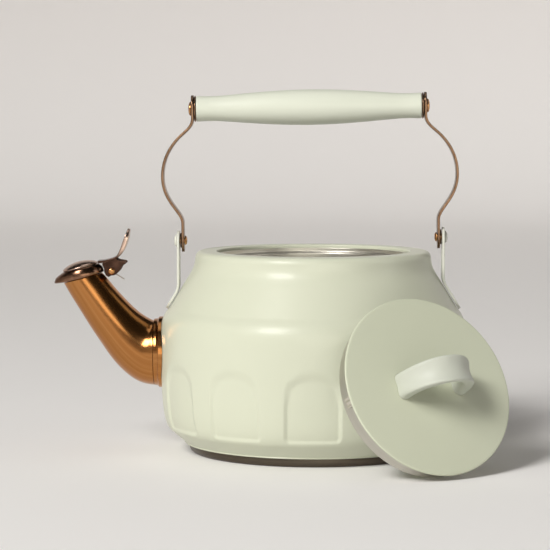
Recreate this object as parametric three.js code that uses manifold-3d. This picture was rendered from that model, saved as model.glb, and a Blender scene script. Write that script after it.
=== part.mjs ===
// Stovetop whistling kettle: a squat coated-steel pot with twelve pressed arch panels, a plated spout
// with a sprung whistle flap, a swinging bail with a turned grip, and a loose drop-in lid that stands
// against the pot. Millimetres, +Z up. The origin is on the pot's axis, in the plane that it stands on;
// the spout points along -X.
import * as THREE from 'three';
import { mergeVertices } from 'three/addons/utils/BufferGeometryUtils.js';
import Module from 'manifold-3d';

const wasm = await Module();
wasm.setup();

// ---------------------------------------------------------------- driving dimensions
const GAP = 0.3; // between pieces that touch
const TURNS = 36; // facets round the pot
const FINE = 16; // facets round small round pieces

const BASE_R = 77; // steel base
const BASE_H = 5.2;
const WALL = 1; // pot wall
const RIM_TOP = 124.2;
const RIM_INNER_R = 59.6; // edge of the coated rim round the mouth
const SEAT_R = 58.9; // lid recess
const SEAT_Z = 119.4; // ledge that the lid sits on
const NECK_R = 52.7; // clear opening
const NECK_BOTTOM = 112;

const PANELS = 12; // arch panels round the pot
const PANEL_HALF = 17.4;
const PANEL_BOTTOM = 16.6;
const PANEL_SPRING = 46.5; // where the arch leaves its straight sides
const PANEL_CREST = 58.6;
const PANEL_CORNER = 4;
const PANEL_DEPTH = 1.5;

const SPOUT_Z = 60.8; // spout root height
const SPOUT_X = -98.9;
const SPOUT_HOLE_R = 16;
const COLLAR_R = 21.8;
const MOUTH = new THREE.Vector3(-143.2, 0, 107); // centre of the spout's cut end
const MOUTH_TILT = THREE.MathUtils.degToRad(14.7);
const LIP_TOP = 6.4; // height of the pouring lip along the cut's normal
const FLAP_R = 11.2;
const PIN = new THREE.Vector3(-124.9, 0, 111.7); // whistle flap hinge
const CHEEK_Y = 5.4;
const CHEEK_T = 1.1;

const BAIL = new THREE.Vector3(-1.5, 0, 131.6); // middle of the line through both ear rivets
const BAIL_TILT = THREE.MathUtils.degToRad(0.85); // the right ear stands a little higher
const STRAP_X = 79.2; // strap at the rivets, from the bail's middle
const STRAP_T = 1.6;
const STRAP_W = 13;
const GRIP_Z = 81.4; // grip axis above the rivets
const GRIP_HALF = 69.6;
const STRAP_TOP_X = 72;
const EAR_T = 1.6;
const EAR_W = 15;
const RIVET_R = 2;

const LID_R = 54.8;
const LID_T = 1.6;
const LID_CROWN = 2;
const SKIRT_R = 51.5;
const SKIRT_DEPTH = 12;
const HANDLE_HALF = 24; // lid handle, outside half length
const HANDLE_TOP = 32.4;
const HANDLE_T = 5.2; // at the top of the arch
const HANDLE_FOOT_T = 9.6;
const HANDLE_W = 16;
const LID_CENTRE = new THREE.Vector3(67.1, -102.9, 52.4); // leaning lid: middle of its rim's top
const LID_TURN = THREE.MathUtils.degToRad(30.9);
const LID_LEAN = THREE.MathUtils.degToRad(63.2);

// ---------------------------------------------------------------- finishes
const finish = (color, roughness, metalness) =>
  new THREE.MeshStandardMaterial({ color, roughness, metalness });
const sage = () => finish(0xd7dcc4, 0.35, 0);
const steel = () => finish(0x9a9182, 0.35, 1);
const copper = () => finish(0xb8794a, 0.28, 1);
const bronze = () => finish(0x6e4227, 0.3, 1);
const paleSage = () => finish(0xe4e8d6, 0.45, 0);

// ---------------------------------------------------------------- shape helpers
const group = new THREE.Group();

function place(name, geometry, material, parent = group) {
  const mesh = new THREE.Mesh(geometry, material);
  mesh.name = name;
  parent.add(mesh);
  return mesh;
}

// A closed profile of [radius, height] pairs, listed anticlockwise, turned about +Z.
function turned(profile, facets = FINE) {
  const points = profile.map(([r, z]) => new THREE.Vector2(r, z));
  const onAxis = profile[0][0] === 0 && profile.at(-1)[0] === 0;
  if (!onAxis) points.push(points[0].clone());
  return new THREE.LatheGeometry(points, facets).rotateX(Math.PI / 2);
}

// The same, turned about +X: heights run along +X.
const turnedAlongX = (profile, facets = FINE) => turned(profile, facets).rotateY(Math.PI / 2);

// The same, turned about +Y: heights run along +Y.
const turnedAlongY = (profile, facets = FINE) => turned(profile, facets).rotateX(-Math.PI / 2);

// A shape drawn in the X-Z plane and made `width` deep, half on each side of y = 0.
function slab(shape, width, curveSegments = 6) {
  const options = { depth: width, bevelEnabled: false, curveSegments };
  return new THREE.ExtrudeGeometry(shape, options).translate(0, 0, -width / 2).rotateX(Math.PI / 2);
}

// A shape drawn in the Y-Z plane, from x = from to x = to.
function plate(shape, from, to, curveSegments = 6) {
  const options = { depth: to - from, bevelEnabled: false, curveSegments };
  const slice = new THREE.ExtrudeGeometry(shape, options);
  return slice.rotateY(Math.PI / 2).rotateX(Math.PI / 2).translate(from, 0, 0);
}

// Skin over a row of rings that each hold the same number of points, closed at both ends.
function loft(rings) {
  const size = rings[0].length;
  const index = [];
  for (let i = 0; i < rings.length - 1; i++) {
    for (let j = 0; j < size; j++) {
      const a = i * size + j;
      const b = i * size + ((j + 1) % size);
      index.push(a, b, b + size, a, b + size, a + size);
    }
  }
  const last = (rings.length - 1) * size;
  for (let j = 1; j < size - 1; j++) {
    index.push(0, j + 1, j, last, last + j, last + j + 1);
  }
  const geometry = new THREE.BufferGeometry().setFromPoints(rings.flat());
  geometry.setIndex(index);
  return geometry;
}

function toSolid(geometry) {
  const bare = geometry.clone();
  bare.deleteAttribute('normal');
  bare.deleteAttribute('uv');
  const merged = mergeVertices(bare, 1e-4);
  return new wasm.Manifold(
    new wasm.Mesh({
      numProp: 3,
      vertProperties: new Float32Array(merged.attributes.position.array),
      triVerts: new Uint32Array(merged.index.array),
    }),
  );
}

function toGeometry(solid) {
  const { vertProperties, triVerts } = solid.getMesh();
  const geometry = new THREE.BufferGeometry();
  geometry.setAttribute('position', new THREE.BufferAttribute(vertProperties, 3));
  geometry.setIndex(new THREE.BufferAttribute(triVerts, 1));
  geometry.computeVertexNormals();
  return geometry;
}

const cut = (geometry, ...tools) =>
  toGeometry(tools.reduce((solid, tool) => solid.subtract(toSolid(tool)), toSolid(geometry)));

// Moves each point of an open profile sideways: positive distances go to its right-hand side.
function offset(points, distance) {
  return points.map((point, i) => {
    const before = points[Math.max(i - 1, 0)];
    const after = points[Math.min(i + 1, points.length - 1)];
    const along = after.clone().sub(before).normalize();
    return new THREE.Vector2(point.x + along.y * distance, point.y - along.x * distance);
  });
}

const pairs = (points) => points.map((p) => [p.x, p.y]);

// A strip of constant thickness along a path, as a closed shape.
function strip(path, thickness, divisions) {
  const apart = (p, i, all) => i === 0 || p.distanceTo(all[i - 1]) > 1e-6;
  const points = path.getPoints(divisions).filter(apart);
  const right = offset(points, thickness / 2);
  const left = offset(points, -thickness / 2).reverse();
  return new THREE.Shape([...right, ...left]);
}

// An upright oblong with round ends, for the face of a strap or an ear; drawn as (y, z).
function oblong(width, bottom, top, roundBottom = true) {
  const r = width / 2;
  const shape = new THREE.Shape();
  shape.absarc(0, top - r, r, 0, Math.PI, false);
  if (roundBottom) {
    shape.absarc(0, bottom + r, r, Math.PI, 2 * Math.PI, false);
  } else {
    shape.lineTo(-r, bottom);
    shape.lineTo(r, bottom);
  }
  return shape;
}

// ---------------------------------------------------------------- the pot
// The outside of the pot in half section: round bottom corner, upright wall, sloping shoulder, short neck.
function potOutline() {
  const path = new THREE.Path();
  path.moveTo(79, 5.5);
  path.bezierCurveTo(87.8, 5.2, 92.5, 17, 94.3, 32);
  path.bezierCurveTo(95.2, 41, 95.3, 60, 95, 72);
  path.bezierCurveTo(94.8, 80, 93.6, 84, 89.3, 88.8);
  path.lineTo(78, 107.4);
  path.bezierCurveTo(75.6, 111.2, 73.6, 113.8, 73.2, 119.5);
  path.bezierCurveTo(73, 122.6, 71.6, RIM_TOP, 68.8, RIM_TOP);
  path.lineTo(RIM_INNER_R + 1, RIM_TOP);
  path.bezierCurveTo(RIM_INNER_R + 0.3, RIM_TOP, RIM_INNER_R, RIM_TOP - 0.3, RIM_INNER_R, RIM_TOP - 1.2);
  return path.getPoints(3);
}

const outline = potOutline();

function archShape(grow) {
  const half = PANEL_HALF + grow;
  const bottom = PANEL_BOTTOM - grow;
  const crest = PANEL_CREST + grow;
  const corner = PANEL_CORNER + grow;
  const shape = new THREE.Shape();
  shape.moveTo(-half + corner, bottom);
  shape.lineTo(half - corner, bottom);
  shape.absarc(half - corner, bottom + corner, corner, -Math.PI / 2, 0, false);
  shape.lineTo(half, PANEL_SPRING);
  shape.absellipse(0, PANEL_SPRING, half, crest - PANEL_SPRING, 0, Math.PI, false);
  shape.absarc(-half + corner, bottom + corner, corner, Math.PI, 1.5 * Math.PI, false);
  return shape;
}

// Everything outside the pot's outline moved by `from`, as a sleeve that the panels are pressed into.
function sleeve(from) {
  const inner = offset(outline, from).filter((p) => p.y < 80);
  const outerR = 110;
  const low = inner[0].y - 4;
  const profile = [[inner[0].x, low], [outerR, low], [outerR, 80], [inner.at(-1).x, 80]];
  return toSolid(turned([...profile, ...pairs(inner).reverse().slice(1)], TURNS));
}

// Twelve arch-topped prisms, which reach out from inside the wall.
function arches(grow) {
  const one = toSolid(slab(archShape(grow), 50, 2).translate(0, -100, 0));
  const all = Array.from({ length: PANELS }, (_, i) => one.rotate([0, 0, (360 / PANELS) * i]));
  return wasm.Manifold.union(all);
}

// The pot as a solid lump whose surface is moved outwards by `grow`, with the panels pressed in.
function potLump(grow) {
  const surface = offset(outline, grow);
  const profile = [[0, surface[0].y], ...pairs(surface), [0, surface.at(-1).y]];
  const panels = arches(-Math.min(grow, 0)).intersect(sleeve(grow - PANEL_DEPTH));
  return toSolid(turned(profile, TURNS)).subtract(panels);
}

function bodyShell() {
  const spoutHole = turnedAlongX([[0, -120], [SPOUT_HOLE_R, -120], [SPOUT_HOLE_R, -60], [0, -60]]);
  const inside = potLump(-WALL);
  const below = turned([[0, 0], [BASE_R + 0.9, 0], [BASE_R + 0.9, 8], [0, 8]], TURNS);
  const throat = turned([[0, 100], [RIM_INNER_R, 100], [RIM_INNER_R, 130], [0, 130]], TURNS);
  return toGeometry(
    potLump(0)
      .subtract(inside)
      .subtract(toSolid(below))
      .subtract(toSolid(throat))
      .subtract(toSolid(spoutHole.translate(0, 0, SPOUT_Z))),
  );
}

place('body_shell', bodyShell(), sage());

// The base: a shallow steel cap, an aluminium heat spreader in it, and the pot's floor above.
const CAP_T = 0.8;
const capProfile = [
  [0, 0], [BASE_R - 0.6, 0], [BASE_R, 0.6], [BASE_R, BASE_H], [BASE_R - CAP_T, BASE_H],
  [BASE_R - CAP_T, CAP_T], [0, CAP_T],
];
const disc = (r, from, to) => turned([[0, from], [r, from], [r, to], [0, to]], TURNS);
place('base_cap', turned(capProfile, TURNS), steel());
place('heat_spreader', disc(BASE_R - CAP_T - GAP, CAP_T + GAP, 4.4), finish(0xb9bbbd, 0.4, 1));
place('pot_floor', disc(BASE_R + 0.5, BASE_H + GAP, BASE_H + GAP + 1), steel());

const seatProfile = [
  [NECK_R + 1, NECK_BOTTOM], [NECK_R + 1, SEAT_Z - 1],
  [SEAT_R + 0.4, SEAT_Z - 1], [SEAT_R + 0.4, RIM_TOP - 1],
  [SEAT_R - 0.4, RIM_TOP - 1], [SEAT_R - 0.4, SEAT_Z], [NECK_R, SEAT_Z], [NECK_R, NECK_BOTTOM],
];
place('lid_seat', turned(seatProfile, TURNS), steel());

// ---------------------------------------------------------------- spout
const spoutLine = new THREE.CubicBezierCurve(
  new THREE.Vector2(SPOUT_X, SPOUT_Z),
  new THREE.Vector2(-110, 60.6),
  new THREE.Vector2(-128, 84),
  new THREE.Vector2(MOUTH.x, MOUTH.z),
);
const SPOUT_T = 1.2; // wall of the spout

// Section stations: share of the line, slope of the section in degrees, half height, half width.
const SPOUT_STATIONS = [
  [0, 90, 20.6, 20], [0.12, 74, 20, 19.4], [0.25, 58, 18.4, 18], [0.38, 48, 16.9, 16.6],
  [0.52, 42, 15.2, 15.2], [0.68, 38, 13.9, 13.9], [0.84, 32, 12.8, 12.7], [0.93, 24, 12.5, 12.1],
  [1, THREE.MathUtils.radToDeg(MOUTH_TILT), 12.4, 11.6],
];

function spoutRing(centre, slope, halfHeight, halfWidth) {
  return Array.from({ length: FINE }, (_, j) => {
    const turn = (2 * Math.PI * j) / FINE;
    const along = halfHeight * Math.cos(turn);
    return new THREE.Vector3(
      centre.x + along * Math.cos(slope), halfWidth * Math.sin(turn), centre.y + along * Math.sin(slope),
    );
  });
}

function spoutSkin(inset) {
  return SPOUT_STATIONS.map(([t, slope, high, wide]) => {
    const angle = THREE.MathUtils.degToRad(slope);
    return spoutRing(spoutLine.getPoint(t), angle, high - inset, wide - inset);
  });
}

function spoutTube() {
  const bore = spoutSkin(SPOUT_T);
  const shift = (ring, x, z) => ring.map((p) => new THREE.Vector3(p.x + x, p.y, p.z + z));
  bore.unshift(shift(bore[0], 3, 0));
  bore.push(shift(bore.at(-1), -1, 3.5));
  return cut(loft(spoutSkin(0)), loft(bore));
}

// The ring that joins the spout to the pot, shaped to the wall behind it.
function spoutCollar() {
  const ring = turnedAlongX([
    [COLLAR_R - 1.2, SPOUT_X + GAP], [COLLAR_R - 0.6, SPOUT_X + 2.4], [COLLAR_R + 0.3, SPOUT_X + 4.4],
    [COLLAR_R + 0.3, -88], [SPOUT_HOLE_R + 1.8, -88], [SPOUT_HOLE_R + 1.8, SPOUT_X + GAP],
  ], FINE + 12).translate(0, 0, SPOUT_Z);
  return toGeometry(toSolid(ring).subtract(potLump(GAP)));
}

const mouthFrame = new THREE.Group();
mouthFrame.position.copy(MOUTH);
mouthFrame.rotation.y = -MOUTH_TILT;
group.add(mouthFrame);

// The pouring lip: a short flared collar round the cut end, drawn out into a beak on the far side.
function spoutLip() {
  const stations = [
    [GAP, 12.4, 11.6, 0], [1, 13.6, 12.8, 4.4], [4, 13.4, 12.6, 3.4], [LIP_TOP, 11.6, 11.6, 0],
  ];
  const rings = stations.map(([z, along, across, beak]) =>
    Array.from({ length: FINE }, (_, j) => {
      const turn = (2 * Math.PI * j) / FINE;
      const reach = along + beak * Math.max(-Math.cos(turn), 0) ** 3;
      return new THREE.Vector3(reach * Math.cos(turn), across * Math.sin(turn), z);
    }),
  );
  return cut(loft(rings), turned([[0, -1], [10, -1], [10, LIP_TOP + 1], [0, LIP_TOP + 1]]));
}

place('spout_tube', spoutTube(), copper());
place('spout_collar', spoutCollar(), copper());
place('spout_lip', spoutLip(), copper(), mouthFrame);

// ---------------------------------------------------------------- whistle flap
const flapBase = LIP_TOP + GAP;
const domeProfile = [
  [0, flapBase + 2.7], [6, flapBase + 1.9], [FLAP_R - 1, flapBase],
  [FLAP_R, flapBase], [FLAP_R, flapBase + 0.8],
  [9.4, flapBase + 2.3], [6, flapBase + 3.4], [0, flapBase + 3.9],
];
place('flap_cap', turned(domeProfile), bronze(), mouthFrame);
const reedDisc = [[1.6, 5.4], [8.6, 5.4], [8.6, 6.2], [1.6, 6.2]];
place('whistle_disc', turned(reedDisc), steel(), mouthFrame);

const pinHole = (r) => turnedAlongY([[0, -20], [r, -20], [r, 20], [0, 20]], 12).translate(PIN.x, 0, PIN.z);

// The thumb lever: one strip, bent up at the thumb end, with a cheek folded down on each side of the pin.
function thumbLever() {
  const path = new THREE.Path();
  path.moveTo(-133.6, 117.2);
  path.bezierCurveTo(-130, 117.2, -126, 118.2, -122.8, 119.5);
  path.bezierCurveTo(-119, 121.4, -117.6, 128.6, -114.2, 137.6);
  const blade = toSolid(slab(strip(path, 1.5, 6), 2 * (CHEEK_Y + CHEEK_T)));
  const cheek = new THREE.Shape([
    new THREE.Vector2(-130.9, 116.4), new THREE.Vector2(-130.4, 114.6), new THREE.Vector2(-127.4, 109.6),
    new THREE.Vector2(-123, 109), new THREE.Vector2(-119.3, 112.2), new THREE.Vector2(-122.6, 119.6),
  ]);
  const web = toSolid(slab(cheek, CHEEK_T));
  return toGeometry(
    blade
      .add(web.translate([0, CHEEK_Y + CHEEK_T / 2, 0]))
      .add(web.translate([0, -CHEEK_Y - CHEEK_T / 2, 0]))
      .subtract(toSolid(pinHole(1.5))),
  );
}

function hingeBracket() {
  const shape = new THREE.Shape();
  shape.moveTo(-129.8, 110.8);
  shape.lineTo(-128.9, 108.8);
  shape.lineTo(-127.2, 107.6);
  shape.absarc(PIN.x, PIN.z, 2.6, THREE.MathUtils.degToRad(-75), THREE.MathUtils.degToRad(120), false);
  shape.lineTo(-129.9, 113.2);
  return cut(slab(shape, 6), pinHole(1.5));
}

const pinProfile = [
  [0, -8.4], [1.6, -8], [2.1, -6.8], [1.2, -6.8], [1.2, 6.8], [2.1, 6.8], [1.6, 8], [0, 8.4],
];

// A torsion spring: two turns round the pin and a tail that leaves to the right.
function flapSpring() {
  const steps = 26;
  const coilR = 2.2;
  const wireR = 0.35;
  const pitch = 0.475;
  const near = 3.8;
  const points = Array.from({ length: steps + 1 }, (_, i) => {
    const turn = -Math.PI / 2 - (4 * Math.PI * i) / steps;
    const y = near + (2 * pitch * i) / steps;
    return new THREE.Vector3(PIN.x + coilR * Math.cos(turn), y, PIN.z + coilR * Math.sin(turn));
  });
  points.unshift(
    new THREE.Vector3(PIN.x + 7, near - 0.1, PIN.z - 5.8),
    new THREE.Vector3(PIN.x + 2.6, near - 0.1, PIN.z - 3.4),
  );
  const wire = new THREE.Shape().absarc(0, 0, wireR, 0, 2 * Math.PI, false);
  const extrudePath = new THREE.CatmullRomCurve3(points);
  const options = { steps: 44, bevelEnabled: false, curveSegments: 3, extrudePath };
  return new THREE.ExtrudeGeometry(wire, options);
}

place('hinge_bracket', hingeBracket(), bronze());
place('thumb_lever', thumbLever(), bronze());
place('hinge_pin', turnedAlongY(pinProfile, 12).translate(PIN.x, 0, PIN.z), copper());
place('flap_spring', flapSpring(), steel());

// ---------------------------------------------------------------- ears
// A bent strip: upright plate with a round top and a foot welded down the shoulder.
function ear(side) {
  const rivetX = BAIL.x + side * STRAP_X;
  const plateX = rivetX + side * 2.9;
  const rivetZ = BAIL.z + side * STRAP_X * Math.sin(BAIL_TILT);
  const shoulder = new THREE.Vector2(89.3, 88.8);
  const down = new THREE.Vector2(89.3 - 78, 88.8 - 107.4).normalize();
  const lift = 0.35 + EAR_T / 2;
  const foot = new THREE.Vector2(shoulder.x - down.y * lift, shoulder.y + down.x * lift);
  const bendZ = foot.y + ((foot.x - Math.abs(plateX)) / down.x) * -down.y;
  const toe = foot.clone().addScaledVector(down, 1.5);
  const path = new THREE.Path();
  path.moveTo(side * toe.x, toe.y);
  path.lineTo(plateX + side * 1.6, bendZ - 2.6);
  path.quadraticCurveTo(plateX, bendZ, plateX, bendZ + 3);
  path.lineTo(plateX, rivetZ + 10);
  const face = toSolid(plate(oblong(EAR_W, 80, rivetZ + 6, false), -110, 110));
  const hole = turnedAlongX([[0, -110], [RIVET_R + GAP, -110], [RIVET_R + GAP, 110], [0, 110]], 12);
  return toGeometry(
    toSolid(slab(strip(path, EAR_T, 4), 40))
      .intersect(face)
      .subtract(toSolid(hole.translate(0, 0, rivetZ))),
  );
}

const bail = new THREE.Group();
bail.position.copy(BAIL);
bail.rotation.y = -BAIL_TILT;
group.add(bail);

// Profiles below are drawn along +X for the right side and mirrored for the left.
const mirrored = (profile) => profile.map(([r, x]) => [r, -x]).reverse();
const onSide = (side, profile, facets) => turnedAlongX(side > 0 ? profile : mirrored(profile), facets);

const rivetProfile = [
  [0, STRAP_X - 2.5], [2.2, STRAP_X - 2.2], [3, STRAP_X - 1.15],
  [RIVET_R, STRAP_X - 1.15], [RIVET_R, STRAP_X + 4.05],
  [3.8, STRAP_X + 4.05], [3.4, STRAP_X + 4.9], [2, STRAP_X + 5.5], [0, STRAP_X + 5.7],
];
const washerProfile = [
  [RIVET_R + GAP, STRAP_X + 1.1], [4.6, STRAP_X + 1.1],
  [4.6, STRAP_X + 1.75], [RIVET_R + GAP, STRAP_X + 1.75],
];

// ---------------------------------------------------------------- bail
function strapPath(side) {
  const path = new THREE.Path();
  const x = (value) => side * value;
  path.moveTo(x(STRAP_X), -12);
  path.lineTo(x(STRAP_X), 11);
  path.bezierCurveTo(x(STRAP_X), 18, x(91.2), 24, x(91.2), 39.5);
  path.bezierCurveTo(x(91.2), 50, x(86.5), 58, x(80.5), 64);
  path.bezierCurveTo(x(75.5), 68.6, x(STRAP_TOP_X), 70.5, x(STRAP_TOP_X), 76);
  path.lineTo(x(STRAP_TOP_X), 96);
  return path;
}

function strap(side) {
  const face = toSolid(plate(oblong(STRAP_W, -7.2, GRIP_Z + 8.4), -110, 110));
  const hole = turnedAlongX([[0, -110], [RIVET_R + GAP, -110], [RIVET_R + GAP, 110], [0, 110]], 12);
  return toGeometry(
    toSolid(slab(strip(strapPath(side), STRAP_T, 7), 40))
      .intersect(face)
      .subtract(toSolid(hole))
      .subtract(toSolid(hole.clone().translate(0, 0, GRIP_Z))),
  );
}

// The turned grip: cylindrical ends with a slight waist, swelling to the middle.
function gripProfile() {
  const half = [
    [0, 11], [13, 10.75], [26, 10.1], [38, 9.25], [49, 8.35], [57, 7.8], [64, 7.75], [68.4, 7.95],
  ];
  const right = [...half, [GRIP_HALF, 7.2]];
  const left = right.slice(1).reverse().map(([x, r]) => [-x, r]);
  return [...left, ...right].map(([x, r]) => [r, x]);
}

const SCREW_LENGTH = 14;
function grip() {
  const bore = [[0, GRIP_HALF - SCREW_LENGTH], [2.3, GRIP_HALF - SCREW_LENGTH], [2.3, 80], [0, 80]];
  const profile = [[0, -GRIP_HALF], ...gripProfile(), [0, GRIP_HALF]];
  return cut(turnedAlongX(profile, 24), onSide(1, bore, 12), onSide(-1, bore, 12));
}

const ferruleProfile = [
  [2.3, GRIP_HALF + GAP], [8, GRIP_HALF + GAP], [8.1, GRIP_HALF + 0.8],
  [7.6, GRIP_HALF + 1.3], [2.3, GRIP_HALF + 1.3],
];
const headX = STRAP_TOP_X + STRAP_T / 2 + GAP;
const gripScrewProfile = [
  [0, GRIP_HALF - 12], [RIVET_R, GRIP_HALF - 12], [RIVET_R, headX],
  [4.3, headX], [4.1, headX + 0.7], [2.6, headX + 1.3], [0, headX + 1.6],
];

for (const [word, side] of [['left', -1], ['right', 1]]) {
  place(`ear_${word}`, ear(side), sage());
  place(`ear_rivet_${word}`, onSide(side, rivetProfile, 16), copper(), bail);
  place(`ear_washer_${word}`, onSide(side, washerProfile, 16), bronze(), bail);
  place(`bail_strap_${word}`, strap(side), bronze(), bail);
  place(`grip_ferrule_${word}`, onSide(side, ferruleProfile), bronze(), bail).position.z = GRIP_Z;
  place(`grip_screw_${word}`, onSide(side, gripScrewProfile, 16), copper(), bail).position.z = GRIP_Z;
}
place('grip', grip(), paleSage(), bail).position.z = GRIP_Z;

// ---------------------------------------------------------------- lid, standing against the pot
// In the lid's own frame z = 0 is the plane that rests on the seat; the handle stands up along +z.
const lid = new THREE.Group();
lid.rotation.set(LID_LEAN, 0, LID_TURN, 'ZYX');
lid.position.copy(LID_CENTRE).add(new THREE.Vector3(0, 0, -LID_T).applyEuler(lid.rotation));
group.add(lid);

const crownAt = (r) => LID_CROWN * (1 - (r / LID_R) ** 2);
const SCREW_X = 18.5;

function lidPlate() {
  const radii = [0, 14, 28, 41, 52];
  const under = radii.map((r) => [r, crownAt(r)]);
  const over = radii.map((r) => [r, crownAt(r) + LID_T]).reverse();
  const edge = [[LID_R - 0.4, 0], [LID_R, 0.4], [LID_R, LID_T - 0.5], [LID_R - 0.5, LID_T]];
  const hole = turned([[0, -9], [2.1, -9], [2.1, 9], [0, 9]], 12);
  return cut(
    turned([...under, ...edge, ...over], TURNS),
    hole.clone().translate(SCREW_X, 0, 0),
    hole.translate(-SCREW_X, 0, 0),
  );
}

const skirtProfile = [
  [SKIRT_R - 0.8, -SKIRT_DEPTH], [SKIRT_R, -SKIRT_DEPTH], [SKIRT_R, -GAP],
  [46, -GAP], [46, -1.1], [SKIRT_R - 0.8, -1.1],
];

// The arch handle: a thick strap whose outside and inside are half ellipses; it thickens to its feet.
function lidHandle() {
  const footZ = crownAt(SCREW_X) + LID_T + GAP;
  const shape = new THREE.Shape();
  const insideHalf = HANDLE_HALF - HANDLE_FOOT_T;
  shape.moveTo(insideHalf, footZ);
  shape.lineTo(HANDLE_HALF, footZ);
  shape.absellipse(0, footZ, HANDLE_HALF, HANDLE_TOP - footZ, 0, Math.PI, false);
  shape.lineTo(-insideHalf, footZ);
  shape.absellipse(0, footZ, insideHalf, HANDLE_TOP - HANDLE_T - footZ, Math.PI, 0, true);
  const hole = turned([[0, -9], [2.1, -9], [2.1, 12], [0, 12]], 12);
  return cut(
    slab(shape, HANDLE_W, 8),
    hole.clone().translate(SCREW_X, 0, 0),
    hole.translate(-SCREW_X, 0, 0),
  );
}

const lidScrewTop = crownAt(SCREW_X) - GAP;
const lidScrewProfile = [
  [0, lidScrewTop - 2.4], [2.6, lidScrewTop - 2], [3.8, lidScrewTop - 0.8], [3.8, lidScrewTop],
  [1.8, lidScrewTop], [1.8, 11], [0, 11],
];

// A small steel leaf on the skirt, which grips the neck when the lid is on.
function lidClip() {
  const arc = (r) => [r, -7.5];
  const ring = [arc(SKIRT_R + GAP), arc(SKIRT_R + 1), [SKIRT_R + 1, -2], [SKIRT_R + GAP, -2]];
  const wedge = new THREE.BoxGeometry(20, 7, 20).translate(-SKIRT_R, 0, -5);
  return toGeometry(toSolid(turned(ring, 60)).intersect(toSolid(wedge)));
}

place('lid_plate', lidPlate(), sage(), lid);
place('lid_skirt', turned(skirtProfile, TURNS), steel(), lid);
place('lid_handle', lidHandle(), paleSage(), lid);
place('lid_screw_left', turned(lidScrewProfile, 12).translate(-SCREW_X, 0, 0), steel(), lid);
place('lid_screw_right', turned(lidScrewProfile, 12).translate(SCREW_X, 0, 0), steel(), lid);
place('lid_clip', lidClip(), steel(), lid).rotation.z = THREE.MathUtils.degToRad(4.6);

export default group;
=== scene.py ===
# %% [markdown]
# # A stovetop whistling kettle
# The real kettle is a pressed and enamelled steel pot, a plated spout with a sprung whistle flap, a bail of
# two bowed strips with a turned wooden grip, and a loose lid. Each real piece becomes one Blender mesh.
# All the shapes are worked out with numpy in millimetres and put into the shared frame in metres.

# %% Load the measured frame
import math

import bpy
import numpy as np
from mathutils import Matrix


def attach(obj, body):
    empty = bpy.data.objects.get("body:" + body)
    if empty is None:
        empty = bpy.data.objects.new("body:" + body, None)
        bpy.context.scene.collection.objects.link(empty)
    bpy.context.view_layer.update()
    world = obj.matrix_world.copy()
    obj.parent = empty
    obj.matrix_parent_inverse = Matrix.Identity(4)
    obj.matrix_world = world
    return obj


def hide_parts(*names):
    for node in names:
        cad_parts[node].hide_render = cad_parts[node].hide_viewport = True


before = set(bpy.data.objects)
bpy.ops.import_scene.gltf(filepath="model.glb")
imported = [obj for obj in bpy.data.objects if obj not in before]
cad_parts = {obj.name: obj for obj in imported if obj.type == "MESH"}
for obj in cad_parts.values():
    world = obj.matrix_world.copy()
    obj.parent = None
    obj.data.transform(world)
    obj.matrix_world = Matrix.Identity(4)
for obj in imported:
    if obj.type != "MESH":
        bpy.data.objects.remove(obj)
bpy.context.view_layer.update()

# %% [markdown]
# ## Camera
# A long lens far away keeps the uprights parallel, as in a catalogue picture. The camera stands a little
# over the mouth of the pot and looks slightly down, so the mouth shows as a thin ellipse.

# %% Camera
FOCAL_MM, BACK_M, HIGH_M, LOOK_DOWN, LOOK_LEFT = 154.3, 1.462, 0.2196, 0.0756, 0.0162
lens = bpy.data.cameras.new("catalogue_camera")
lens.sensor_width = 36
lens.lens = FOCAL_MM
lens.clip_end = 50
camera = bpy.data.objects.new("catalogue_camera", lens)
camera.location = (0, -BACK_M, HIGH_M)
camera.rotation_euler = (math.pi / 2 - LOOK_DOWN, 0, LOOK_LEFT)
bpy.context.scene.collection.objects.link(camera)
bpy.context.scene.camera = camera
print("camera at", tuple(camera.location))

# %% [markdown]
# ## Mesh tools
# Nearly every piece of a kettle is turned, bent from strip, or drawn out along a line. All of those are
# grids of points: rows along the piece and columns round it. One function turns such a grid into a closed
# mesh, and one more gives the mesh its body, finish and stand-in CAD node. Working on whole arrays keeps
# the shapes readable as formulas.

# %% Grids to meshes
MM = 0.001
WORLD = (np.eye(3), np.zeros(3))
CREASE = math.radians(38)


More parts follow.
